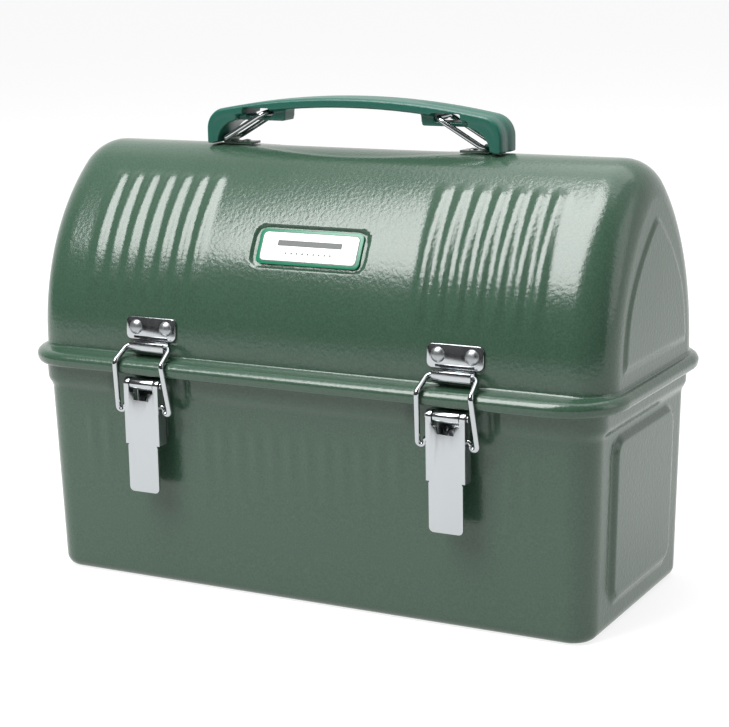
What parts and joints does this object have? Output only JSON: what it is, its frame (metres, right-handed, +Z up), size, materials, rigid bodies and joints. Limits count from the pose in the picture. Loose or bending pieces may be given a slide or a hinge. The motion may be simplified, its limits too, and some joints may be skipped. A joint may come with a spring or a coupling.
{
  "type": "metal lunch box",
  "caption": "Dome-lid pressed-steel lunch box with rear hinges, two wire-loop draw latches, a sliding carry handle on two wires and a wire bottle bail in the lid.",
  "frame": {"origin": "middle of the tray's flat floor, on the surface that it stands on", "axes": "+X along the length, to the right as seen from the latch side; +Z up; the latches face -Y"},
  "size_m": [0.33, 0.1647, 0.2486],
  "materials": {
    "enamel_green": "gloss hammertone enamel on pressed steel",
    "zinc_steel": "bright nickel or chrome plate",
    "wire_steel": "bright plated spring wire",
    "grip_plastic": "moulded, semi-gloss",
    "badge_green": "gloss",
    "badge_white": "satin"
  },
  "bodies": {
    "base": {"base_shell": "enamel_green", "latch_mount_left": "zinc_steel", "latch_mount_right": "zinc_steel", "latch_mount_rivets": "zinc_steel", "latch_pin_left": "zinc_steel", "latch_pin_right": "zinc_steel", "base_hinge_leaf_left": "enamel_green", "base_hinge_leaf_right": "enamel_green", "base_hinge_rivets": "zinc_steel", "hinge_pin_left": "zinc_steel", "hinge_pin_right": "zinc_steel"},
    "lid": {"lid_shell": "enamel_green", "lid_hinge_leaf_left": "enamel_green", "lid_hinge_leaf_right": "enamel_green", "lid_hinge_rivets": "zinc_steel", "catch_plate_left": "zinc_steel", "catch_plate_right": "zinc_steel", "catch_rivets": "zinc_steel", "badge_plate": "badge_green", "badge_face": "badge_white", "handle_bracket_left": "enamel_green", "handle_bracket_right": "enamel_green", "handle_bracket_rivets": "zinc_steel", "bail_clips": "zinc_steel", "bail_clip_rivets": "zinc_steel", "bail_catch": "zinc_steel"},
    "lever_left": {"latch_lever_left": "zinc_steel"},
    "lever_right": {"latch_lever_right": "zinc_steel"},
    "loop_left": {"latch_loop_left": "wire_steel"},
    "loop_right": {"latch_loop_right": "wire_steel"},
    "grip": {"handle_grip": "grip_plastic"},
    "wire_left": {"handle_wire_left": "wire_steel"},
    "wire_right": {"handle_wire_right": "wire_steel"},
    "bail": {"bottle_bail": "wire_steel"}
  },
  "joints": [
    {"name": "lid_hinge", "type": "hinge", "parent": "base", "child": "lid", "pos_m": [0, 0.081, 0.116], "axis": [-1, 0, 0], "range_deg": [0, 105]},
    {"name": "lever_left_hinge", "type": "hinge", "parent": "base", "child": "lever_left", "pos_m": [-0.0854, -0.0745, 0.1078], "axis": [-1, 0, 0], "range_deg": [0, 100]},
    {"name": "lever_right_hinge", "type": "hinge", "parent": "base", "child": "lever_right", "pos_m": [0.0854, -0.0745, 0.1078], "axis": [-1, 0, 0], "range_deg": [0, 100]},
    {"name": "loop_left_hinge", "type": "hinge", "parent": "lever_left", "child": "loop_left", "pos_m": [-0.0854, -0.0746, 0.097], "axis": [-1, 0, 0], "range_deg": [-160, 0]},
    {"name": "loop_right_hinge", "type": "hinge", "parent": "lever_right", "child": "loop_right", "pos_m": [0.0854, -0.0746, 0.097], "axis": [-1, 0, 0], "range_deg": [-160, 0]},
    {"name": "grip_slide", "type": "slide", "parent": "lid", "child": "grip", "axis": [0, 0, 1], "range_m": [0, 0.0108]},
    {"name": "wire_left_hinge", "type": "hinge", "parent": "lid", "child": "wire_left", "pos_m": [-0.0746, 0, 0.2255], "axis": [0, -1, 0], "range_deg": [0, 29.1]},
    {"name": "wire_right_hinge", "type": "hinge", "parent": "lid", "child": "wire_right", "pos_m": [0.0746, 0, 0.2255], "axis": [0, 1, 0], "range_deg": [0, 29.1]},
    {"name": "bail_hinge", "type": "hinge", "parent": "lid", "child": "bail", "pos_m": [0, 0.057, 0.127], "axis": [1, 0, 0], "range_deg": [0, 90]}
  ],
  "couplings": [
    {"joint": "loop_left_hinge", "follows": "lever_left_hinge", "ratio": -1.6},
    {"joint": "loop_right_hinge", "follows": "lever_right_hinge", "ratio": -1.6},
    {"joint": "wire_left_hinge", "follows": "grip_slide", "rad_per_m": 47},
    {"joint": "wire_right_hinge", "follows": "grip_slide", "rad_per_m": 47}
  ]
}
